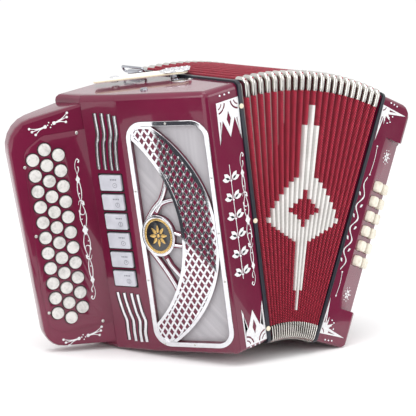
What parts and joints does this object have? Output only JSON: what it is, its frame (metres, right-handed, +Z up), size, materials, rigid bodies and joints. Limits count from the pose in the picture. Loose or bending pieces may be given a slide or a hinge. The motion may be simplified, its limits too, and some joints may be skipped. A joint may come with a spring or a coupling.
{
  "type": "button accordion",
  "caption": "Three-row diatonic button accordion in red lacquer, standing with its pleated cloth bellows fanned open, with sprung buttons, register tabs and straps.",
  "frame": {"origin": "centre of the bottom of the overall box, on the floor the instrument stands on", "axes": "+X from the treble side to the bass side along the bellows, -Y to the front, +Z up"},
  "size_m": [0.4809, 0.1929, 0.3408],
  "materials": {
    "lacquer": "high gloss lacquer",
    "cover": "high gloss lacquer",
    "bellows_cloth": "woven cloth over card",
    "button_pearl": "pearl",
    "bass_button": "cream pearl",
    "register_tab": "gloss",
    "strap_leather": "smooth",
    "chrome": "polished",
    "hand_strap_leather": "smooth",
    "wheel": "satin"
  },
  "bodies": {
    "treble": {"treble_case": "lacquer", "treble_grille": "cover", "bellows": "bellows_cloth"},
    "bass": {"bass_case": "lacquer", "hand_strap": "hand_strap_leather"},
    "bellows_strap": {"bellows_strap": "strap_leather"},
    "shoulder_bracket": {"shoulder_strap_bracket": "chrome"},
    "strap_wheel": {"strap_wheel": "wheel"},
    "treble_button_1_01": {"treble_button_1_01": "button_pearl"},
    "treble_button_1_02": {"treble_button_1_02": "button_pearl"},
    "treble_button_1_03": {"treble_button_1_03": "button_pearl"},
    "treble_button_1_04": {"treble_button_1_04": "button_pearl"},
    "treble_button_1_05": {"treble_button_1_05": "button_pearl"},
    "treble_button_1_06": {"treble_button_1_06": "button_pearl"},
    "treble_button_1_07": {"treble_button_1_07": "button_pearl"},
    "treble_button_1_08": {"treble_button_1_08": "button_pearl"},
    "treble_button_1_09": {"treble_button_1_09": "button_pearl"},
    "treble_button_1_10": {"treble_button_1_10": "button_pearl"},
    "treble_button_1_11": {"treble_button_1_11": "button_pearl"},
    "treble_button_2_01": {"treble_button_2_01": "button_pearl"},
    "treble_button_2_02": {"treble_button_2_02": "button_pearl"},
    "treble_button_2_03": {"treble_button_2_03": "button_pearl"},
    "treble_button_2_04": {"treble_button_2_04": "button_pearl"},
    "treble_button_2_05": {"treble_button_2_05": "button_pearl"},
    "treble_button_2_06": {"treble_button_2_06": "button_pearl"},
    "treble_button_2_07": {"treble_button_2_07": "button_pearl"},
    "treble_button_2_08": {"treble_button_2_08": "button_pearl"},
    "treble_button_2_09": {"treble_button_2_09": "button_pearl"},
    "treble_button_2_10": {"treble_button_2_10": "button_pearl"},
    "treble_button_2_11": {"treble_button_2_11": "button_pearl"},
    "treble_button_2_12": {"treble_button_2_12": "button_pearl"},
    "treble_button_3_01": {"treble_button_3_01": "button_pearl"},
    "treble_button_3_02": {"treble_button_3_02": "button_pearl"},
    "treble_button_3_03": {"treble_button_3_03": "button_pearl"},
    "treble_button_3_04": {"treble_button_3_04": "button_pearl"},
    "treble_button_3_05": {"treble_button_3_05": "button_pearl"},
    "treble_button_3_06": {"treble_button_3_06": "button_pearl"},
    "treble_button_3_07": {"treble_button_3_07": "button_pearl"},
    "treble_button_3_08": {"treble_button_3_08": "button_pearl"},
    "treble_button_3_09": {"treble_button_3_09": "button_pearl"},
    "treble_button_3_10": {"treble_button_3_10": "button_pearl"},
    "treble_button_3_11": {"treble_button_3_11": "button_pearl"},
    "bass_button_1_1": {"bass_button_1_1": "bass_button"},
    "bass_button_1_2": {"bass_button_1_2": "bass_button"},
    "bass_button_1_3": {"bass_button_1_3": "bass_button"},
    "bass_button_1_4": {"bass_button_1_4": "bass_button"},
    "bass_button_1_5": {"bass_button_1_5": "bass_button"},
    "bass_button_1_6": {"bass_button_1_6": "bass_button"},
    "bass_button_2_1": {"bass_button_2_1": "bass_button"},
    "bass_button_2_2": {"bass_button_2_2": "bass_button"},
    "bass_button_2_3": {"bass_button_2_3": "bass_button"},
    "bass_button_2_4": {"bass_button_2_4": "bass_button"},
    "bass_button_2_5": {"bass_button_2_5": "bass_button"},
    "bass_button_2_6": {"bass_button_2_6": "bass_button"},
    "register_tab_1": {"register_tab_1": "register_tab"},
    "register_tab_2": {"register_tab_2": "register_tab"},
    "register_tab_3": {"register_tab_3": "register_tab"},
    "register_tab_4": {"register_tab_4": "register_tab"},
    "register_tab_5": {"register_tab_5": "register_tab"},
    "register_tab_6": {"register_tab_6": "register_tab"}
  },
  "joints": [
    {"name": "bellows_fan", "type": "hinge", "parent": "treble", "child": "bass", "pos_m": [0.04081, 0.0002, 0.01866], "axis": [0, 1, 0], "range_deg": [-30.7, 20], "deforming": ["bellows"]},
    {"name": "bellows_strap_swing", "type": "hinge", "parent": "treble", "child": "bellows_strap", "pos_m": [-0.06186, 0.0087, 0.32728], "axis": [-0.2147, 0, 0.9767], "range_deg": [0, 223]},
    {"name": "shoulder_bracket_swing", "type": "hinge", "parent": "treble", "child": "shoulder_bracket", "pos_m": [-0.07143, 0.0707, 0.32887], "axis": [0, 1, 0], "range_deg": [0, 108]},
    {"name": "strap_wheel_turn", "type": "hinge", "parent": "bass", "child": "strap_wheel", "pos_m": [0.22682, -0.0768, 0.2515], "axis": [0, 1, 0], "continuous": true},
    {"name": "register_tab_1_press", "type": "hinge", "parent": "treble", "child": "register_tab_1", "pos_m": [-0.13157, 0.01416, 0.20742], "axis": [-0.2147, 0, 0.9767], "range_deg": [-7, 0]},
    {"name": "register_tab_2_press", "type": "hinge", "parent": "treble", "child": "register_tab_2", "pos_m": [-0.12654, 0.01416, 0.18457], "axis": [-0.2147, 0, 0.9767], "range_deg": [-7, 0]},
    {"name": "register_tab_3_press", "type": "hinge", "parent": "treble", "child": "register_tab_3", "pos_m": [-0.12152, 0.01416, 0.16171], "axis": [-0.2147, 0, 0.9767], "range_deg": [-7, 0]},
    {"name": "register_tab_4_press", "type": "hinge", "parent": "treble", "child": "register_tab_4", "pos_m": [-0.1165, 0.01416, 0.13886], "axis": [-0.2147, 0, 0.9767], "range_deg": [-7, 0]},
    {"name": "register_tab_5_press", "type": "hinge", "parent": "treble", "child": "register_tab_5", "pos_m": [-0.11147, 0.01416, 0.116], "axis": [-0.2147, 0, 0.9767], "range_deg": [-7, 0]},
    {"name": "register_tab_6_press", "type": "hinge", "parent": "treble", "child": "register_tab_6", "pos_m": [-0.10644, 0.01416, 0.09315], "axis": [-0.2147, 0, 0.9767], "range_deg": [-7, 0]},
    {"name": "treble_button_1_01_press", "type": "slide", "parent": "treble", "child": "treble_button_1_01", "axis": [0.3356, 0.9391, 0.0738], "range_m": [0, 0.0035], "stiffness_N_per_m": 100, "springref_m": -0.003},
    {"name": "treble_button_1_02_press", "type": "slide", "parent": "treble", "child": "treble_button_1_02", "axis": [0.3356, 0.9391, 0.0738], "range_m": [0, 0.0035], "stiffness_N_per_m": 100, "springref_m": -0.003},
    {"name": "treble_button_1_03_press", "type": "slide", "parent": "treble", "child": "treble_button_1_03", "axis": [0.3356, 0.9391, 0.0738], "range_m": [0, 0.0035], "stiffness_N_per_m": 100, "springref_m": -0.003},
    {"name": "treble_button_1_04_press", "type": "slide", "parent": "treble", "child": "treble_button_1_04", "axis": [0.3356, 0.9391, 0.0738], "range_m": [0, 0.0035], "stiffness_N_per_m": 100, "springref_m": -0.003},
    {"name": "treble_button_1_05_press", "type": "slide", "parent": "treble", "child": "treble_button_1_05", "axis": [0.3356, 0.9391, 0.0738], "range_m": [0, 0.0035], "stiffness_N_per_m": 100, "springref_m": -0.003},
    {"name": "treble_button_1_06_press", "type": "slide", "parent": "treble", "child": "treble_button_1_06", "axis": [0.3356, 0.9391, 0.0738], "range_m": [0, 0.0035], "stiffness_N_per_m": 100, "springref_m": -0.003},
    {"name": "treble_button_1_07_press", "type": "slide", "parent": "treble", "child": "treble_button_1_07", "axis": [0.3356, 0.9391, 0.0738], "range_m": [0, 0.0035], "stiffness_N_per_m": 100, "springref_m": -0.003},
    {"name": "treble_button_1_08_press", "type": "slide", "parent": "treble", "child": "treble_button_1_08", "axis": [0.3356, 0.9391, 0.0738], "range_m": [0, 0.0035], "stiffness_N_per_m": 100, "springref_m": -0.003},
    {"name": "treble_button_1_09_press", "type": "slide", "parent": "treble", "child": "treble_button_1_09", "axis": [0.3356, 0.9391, 0.0738], "range_m": [0, 0.0035], "stiffness_N_per_m": 100, "springref_m": -0.003},
    {"name": "treble_button_1_10_press", "type": "slide", "parent": "treble", "child": "treble_button_1_10", "axis": [0.3356, 0.9391, 0.0738], "range_m": [0, 0.0035], "stiffness_N_per_m": 100, "springref_m": -0.003},
    {"name": "treble_button_1_11_press", "type": "slide", "parent": "treble", "child": "treble_button_1_11", "axis": [0.3356, 0.9391, 0.0738], "range_m": [0, 0.0035], "stiffness_N_per_m": 100, "springref_m": -0.003},
    {"name": "treble_button_2_01_press", "type": "slide", "parent": "treble", "child": "treble_button_2_01", "axis": [0.3356, 0.9391, 0.0738], "range_m": [0, 0.0035], "stiffness_N_per_m": 100, "springref_m": -0.003},
    {"name": "treble_button_2_02_press", "type": "slide", "parent": "treble", "child": "treble_button_2_02", "axis": [0.3356, 0.9391, 0.0738], "range_m": [0, 0.0035], "stiffness_N_per_m": 100, "springref_m": -0.003},
    {"name": "treble_button_2_03_press", "type": "slide", "parent": "treble", "child": "treble_button_2_03", "axis": [0.3356, 0.9391, 0.0738], "range_m": [0, 0.0035], "stiffness_N_per_m": 100, "springref_m": -0.003},
    {"name": "treble_button_2_04_press", "type": "slide", "parent": "treble", "child": "treble_button_2_04", "axis": [0.3356, 0.9391, 0.0738], "range_m": [0, 0.0035], "stiffness_N_per_m": 100, "springref_m": -0.003},
    {"name": "treble_button_2_05_press", "type": "slide", "parent": "treble", "child": "treble_button_2_05", "axis": [0.3356, 0.9391, 0.0738], "range_m": [0, 0.0035], "stiffness_N_per_m": 100, "springref_m": -0.003},
    {"name": "treble_button_2_06_press", "type": "slide", "parent": "treble", "child": "treble_button_2_06", "axis": [0.3356, 0.9391, 0.0738], "range_m": [0, 0.0035], "stiffness_N_per_m": 100, "springref_m": -0.003},
    {"name": "treble_button_2_07_press", "type": "slide", "parent": "treble", "child": "treble_button_2_07", "axis": [0.3356, 0.9391, 0.0738], "range_m": [0, 0.0035], "stiffness_N_per_m": 100, "springref_m": -0.003},
    {"name": "treble_button_2_08_press", "type": "slide", "parent": "treble", "child": "treble_button_2_08", "axis": [0.3356, 0.9391, 0.0738], "range_m": [0, 0.0035], "stiffness_N_per_m": 100, "springref_m": -0.003},
    {"name": "treble_button_2_09_press", "type": "slide", "parent": "treble", "child": "treble_button_2_09", "axis": [0.3356, 0.9391, 0.0738], "range_m": [0, 0.0035], "stiffness_N_per_m": 100, "springref_m": -0.003},
    {"name": "treble_button_2_10_press", "type": "slide", "parent": "treble", "child": "treble_button_2_10", "axis": [0.3356, 0.9391, 0.0738], "range_m": [0, 0.0035], "stiffness_N_per_m": 100, "springref_m": -0.003},
    {"name": "treble_button_2_11_press", "type": "slide", "parent": "treble", "child": "treble_button_2_11", "axis": [0.3356, 0.9391, 0.0738], "range_m": [0, 0.0035], "stiffness_N_per_m": 100, "springref_m": -0.003},
    {"name": "treble_button_2_12_press", "type": "slide", "parent": "treble", "child": "treble_button_2_12", "axis": [0.3356, 0.9391, 0.0738], "range_m": [0, 0.0035], "stiffness_N_per_m": 100, "springref_m": -0.003},
    {"name": "treble_button_3_01_press", "type": "slide", "parent": "treble", "child": "treble_button_3_01", "axis": [0.3356, 0.9391, 0.0738], "range_m": [0, 0.0035], "stiffness_N_per_m": 100, "springref_m": -0.003},
    {"name": "treble_button_3_02_press", "type": "slide", "parent": "treble", "child": "treble_button_3_02", "axis": [0.3356, 0.9391, 0.0738], "range_m": [0, 0.0035], "stiffness_N_per_m": 100, "springref_m": -0.003},
    {"name": "treble_button_3_03_press", "type": "slide", "parent": "treble", "child": "treble_button_3_03", "axis": [0.3356, 0.9391, 0.0738], "range_m": [0, 0.0035], "stiffness_N_per_m": 100, "springref_m": -0.003},
    {"name": "treble_button_3_04_press", "type": "slide", "parent": "treble", "child": "treble_button_3_04", "axis": [0.3356, 0.9391, 0.0738], "range_m": [0, 0.0035], "stiffness_N_per_m": 100, "springref_m": -0.003},
    {"name": "treble_button_3_05_press", "type": "slide", "parent": "treble", "child": "treble_button_3_05", "axis": [0.3356, 0.9391, 0.0738], "range_m": [0, 0.0035], "stiffness_N_per_m": 100, "springref_m": -0.003},
    {"name": "treble_button_3_06_press", "type": "slide", "parent": "treble", "child": "treble_button_3_06", "axis": [0.3356, 0.9391, 0.0738], "range_m": [0, 0.0035], "stiffness_N_per_m": 100, "springref_m": -0.003},
    {"name": "treble_button_3_07_press", "type": "slide", "parent": "treble", "child": "treble_button_3_07", "axis": [0.3356, 0.9391, 0.0738], "range_m": [0, 0.0035], "stiffness_N_per_m": 100, "springref_m": -0.003},
    {"name": "treble_button_3_08_press", "type": "slide", "parent": "treble", "child": "treble_button_3_08", "axis": [0.3356, 0.9391, 0.0738], "range_m": [0, 0.0035], "stiffness_N_per_m": 100, "springref_m": -0.003},
    {"name": "treble_button_3_09_press", "type": "slide", "parent": "treble", "child": "treble_button_3_09", "axis": [0.3356, 0.9391, 0.0738], "range_m": [0, 0.0035], "stiffness_N_per_m": 100, "springref_m": -0.003},
    {"name": "treble_button_3_10_press", "type": "slide", "parent": "treble", "child": "treble_button_3_10", "axis": [0.3356, 0.9391, 0.0738], "range_m": [0, 0.0035], "stiffness_N_per_m": 100, "springref_m": -0.003},
    {"name": "treble_button_3_11_press", "type": "slide", "parent": "treble", "child": "treble_button_3_11", "axis": [0.3356, 0.9391, 0.0738], "range_m": [0, 0.0035], "stiffness_N_per_m": 100, "springref_m": -0.003},
    {"name": "bass_button_1_1_press", "type": "slide", "parent": "bass", "child": "bass_button_1_1", "axis": [-0.2617, 0.9613, 0.0865], "range_m": [0, 0.003], "stiffness_N_per_m": 120, "springref_m": -0.003},
    {"name": "bass_button_1_2_press", "type": "slide", "parent": "bass", "child": "bass_button_1_2", "axis": [-0.2617, 0.9613, 0.0865], "range_m": [0, 0.003], "stiffness_N_per_m": 120, "springref_m": -0.003},
    {"name": "bass_button_1_3_press", "type": "slide", "parent": "bass", "child": "bass_button_1_3", "axis": [-0.2617, 0.9613, 0.0865], "range_m": [0, 0.003], "stiffness_N_per_m": 120, "springref_m": -0.003},
    {"name": "bass_button_1_4_press", "type": "slide", "parent": "bass", "child": "bass_button_1_4", "axis": [-0.2617, 0.9613, 0.0865], "range_m": [0, 0.003], "stiffness_N_per_m": 120, "springref_m": -0.003},
    {"name": "bass_button_1_5_press", "type": "slide", "parent": "bass", "child": "bass_button_1_5", "axis": [-0.2617, 0.9613, 0.0865], "range_m": [0, 0.003], "stiffness_N_per_m": 120, "springref_m": -0.003},
    {"name": "bass_button_1_6_press", "type": "slide", "parent": "bass", "child": "bass_button_1_6", "axis": [-0.2617, 0.9613, 0.0865], "range_m": [0, 0.003], "stiffness_N_per_m": 120, "springref_m": -0.003},
    {"name": "bass_button_2_1_press", "type": "slide", "parent": "bass", "child": "bass_button_2_1", "axis": [-0.2617, 0.9613, 0.0865], "range_m": [0, 0.003], "stiffness_N_per_m": 120, "springref_m": -0.003},
    {"name": "bass_button_2_2_press", "type": "slide", "parent": "bass", "child": "bass_button_2_2", "axis": [-0.2617, 0.9613, 0.0865], "range_m": [0, 0.003], "stiffness_N_per_m": 120, "springref_m": -0.003},
    {"name": "bass_button_2_3_press", "type": "slide", "parent": "bass", "child": "bass_button_2_3", "axis": [-0.2617, 0.9613, 0.0865], "range_m": [0, 0.003], "stiffness_N_per_m": 120, "springref_m": -0.003},
    {"name": "bass_button_2_4_press", "type": "slide", "parent": "bass", "child": "bass_button_2_4", "axis": [-0.2617, 0.9613, 0.0865], "range_m": [0, 0.003], "stiffness_N_per_m": 120, "springref_m": -0.003},
    {"name": "bass_button_2_5_press", "type": "slide", "parent": "bass", "child": "bass_button_2_5", "axis": [-0.2617, 0.9613, 0.0865], "range_m": [0, 0.003], "stiffness_N_per_m": 120, "springref_m": -0.003},
    {"name": "bass_button_2_6_press", "type": "slide", "parent": "bass", "child": "bass_button_2_6", "axis": [-0.2617, 0.9613, 0.0865], "range_m": [0, 0.003], "stiffness_N_per_m": 120, "springref_m": -0.003}
  ]
}
